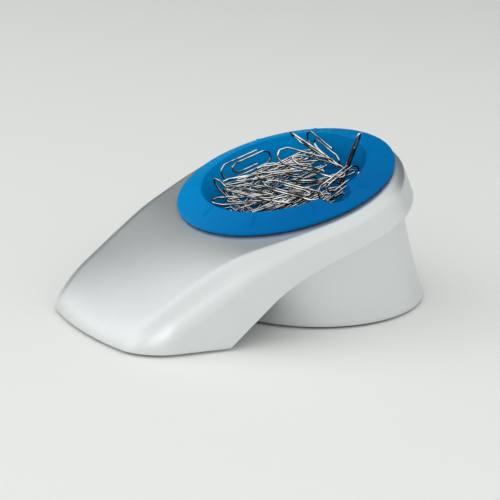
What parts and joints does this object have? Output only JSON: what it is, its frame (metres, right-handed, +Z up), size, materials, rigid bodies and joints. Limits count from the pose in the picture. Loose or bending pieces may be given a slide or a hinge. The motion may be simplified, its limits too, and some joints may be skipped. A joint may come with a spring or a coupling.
{
  "type": "paper clip holder",
  "caption": "Desk holder for loose paper clips: a lift-out round cup that turns in a silver cover with a long nose, on a leaning weighted pedestal.",
  "frame": {"origin": "on the desk, under the middle of the holder's outer box", "axes": "+Z up, -Y towards the tip of the nose, +X to the right of someone who looks along +Y from the nose"},
  "size_m": [0.0938, 0.1398, 0.0633],
  "materials": {
    "silver_paint": "satin silver paint on moulded plastic",
    "blue_plastic": "satin, moulded in colour",
    "grey_plastic": "fine texture",
    "black_rubber": "matt",
    "zinc_wire": "bright zinc plated wire",
    "bare_steel": "plain",
    "ferrite": "matt sintered"
  },
  "bodies": {
    "housing": {"cover_shell": "silver_paint", "pedestal_shell": "silver_paint", "base_plate": "grey_plastic", "ballast_plate": "bare_steel", "foot_ring": "black_rubber", "front_foot_left": "black_rubber", "front_foot_right": "black_rubber", "base_screw_1": "bare_steel", "base_screw_2": "bare_steel", "base_screw_3": "bare_steel", "base_screw_4": "bare_steel"},
    "carrier": {"magnet_carrier": "grey_plastic", "magnet_1": "ferrite", "magnet_2": "ferrite", "magnet_3": "ferrite", "magnet_4": "ferrite"},
    "cup": {"clip_cup": "blue_plastic", "paper_clip_01": "zinc_wire", "paper_clip_02": "zinc_wire", "paper_clip_03": "zinc_wire", "paper_clip_04": "zinc_wire", "paper_clip_05": "zinc_wire", "paper_clip_06": "zinc_wire", "paper_clip_07": "zinc_wire", "paper_clip_08": "zinc_wire", "paper_clip_09": "zinc_wire", "paper_clip_10": "zinc_wire", "paper_clip_11": "zinc_wire", "paper_clip_12": "zinc_wire", "paper_clip_13": "zinc_wire", "paper_clip_14": "zinc_wire", "paper_clip_15": "zinc_wire", "paper_clip_16": "zinc_wire", "paper_clip_17": "zinc_wire", "paper_clip_18": "zinc_wire", "paper_clip_19": "zinc_wire", "paper_clip_20": "zinc_wire", "paper_clip_21": "zinc_wire", "paper_clip_22": "zinc_wire", "paper_clip_23": "zinc_wire", "paper_clip_24": "zinc_wire", "paper_clip_25": "zinc_wire", "paper_clip_26": "zinc_wire", "paper_clip_27": "zinc_wire", "paper_clip_28": "zinc_wire", "paper_clip_29": "zinc_wire", "paper_clip_30": "zinc_wire", "paper_clip_31": "zinc_wire", "paper_clip_32": "zinc_wire"}
  },
  "joints": [
    {"name": "cup_turn", "type": "hinge", "parent": "housing", "child": "carrier", "pos_m": [0, 0.01451, 0.0443], "axis": [0, -0.2857, 0.9583], "continuous": true},
    {"name": "cup_lift", "type": "slide", "parent": "carrier", "child": "cup", "axis": [0, -0.2857, 0.9583], "range_m": [0, 0.06]}
  ]
}
